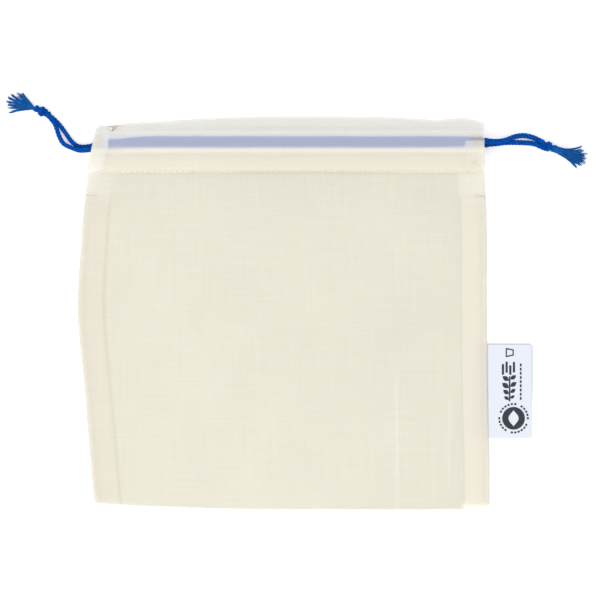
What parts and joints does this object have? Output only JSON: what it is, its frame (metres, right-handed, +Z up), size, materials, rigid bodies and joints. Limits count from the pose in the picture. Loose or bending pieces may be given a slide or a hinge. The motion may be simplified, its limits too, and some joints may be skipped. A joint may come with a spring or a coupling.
{
  "type": "mesh produce bag",
  "caption": "Flat rectangular cotton muslin produce bag with a hemmed casing at its mouth, a knotted drawstring out of each side and a folded ribbon label in one side seam.",
  "frame": {"origin": "the middle of the rear panel's underside, on the surface that the bag lies on", "axes": "+X to the right across the bag, +Y from the bottom fold towards the mouth, +Z up out of the front panel"},
  "size_m": [0.3476, 0.249, 0.0142],
  "materials": {
    "muslin": "unbleached plain-weave cotton muslin, matt, slightly see-through",
    "cord": "cobalt blue twisted cotton cord, matt with a soft fuzz",
    "thread": "cream sewing thread",
    "label_ribbon": null
  },
  "bodies": {
    "bag": {"rear_panel": "muslin", "front_panel": "muslin", "rear_casing_hem": "muslin", "front_casing_hem": "muslin", "left_seam_allowance": "muslin", "right_seam_allowance": "muslin", "left_overlock_thread": "thread", "right_overlock_thread": "thread", "left_seam_thread": "thread", "right_seam_thread": "thread", "front_hem_thread": "thread", "rear_hem_thread": "thread", "left_slit_bartack": "thread", "right_slit_bartack": "thread", "label_seam_tab": "label_ribbon"},
    "mouth_left": {"left_casing_end": "muslin"},
    "mouth_right": {"right_casing_end": "muslin"},
    "left_drawstring": {"left_cord_loop": "cord", "left_tail_upper": "cord", "left_tail_lower": "cord", "left_knot": "cord", "left_tassel": "cord"},
    "right_drawstring": {"right_cord_loop": "cord", "right_tail_upper": "cord", "right_tail_lower": "cord", "right_knot": "cord", "right_tassel": "cord"},
    "label": {"side_label": "label_ribbon"}
  },
  "joints": [
    {"name": "left_drawstring_pull", "type": "slide", "parent": "bag", "child": "left_drawstring", "axis": [-1, 0, 0], "range_m": [0, 0.075]},
    {"name": "right_drawstring_pull", "type": "slide", "parent": "bag", "child": "right_drawstring", "axis": [1, 0, 0], "range_m": [0, 0.075]},
    {"name": "mouth_right_gather", "type": "slide", "parent": "bag", "child": "mouth_right", "axis": [-1, 0, 0], "range_m": [0, 0.075], "deforming": ["rear_panel", "front_panel", "rear_casing_hem", "front_casing_hem", "left_seam_allowance", "right_seam_allowance", "left_overlock_thread", "right_overlock_thread", "left_seam_thread", "right_seam_thread", "front_hem_thread", "rear_hem_thread", "left_slit_bartack", "right_slit_bartack"]},
    {"name": "mouth_left_gather", "type": "slide", "parent": "bag", "child": "mouth_left", "axis": [1, 0, 0], "range_m": [0, 0.075]},
    {"name": "label_fold", "type": "hinge", "parent": "bag", "child": "label", "pos_m": [0.1181, -0.046, 0.0017], "axis": [0, -1, 0], "range_deg": [0, 160]}
  ],
  "couplings": [
    {"joint": "mouth_right_gather", "follows": "left_drawstring_pull", "ratio": 1},
    {"joint": "mouth_left_gather", "follows": "right_drawstring_pull", "ratio": 1}
  ]
}
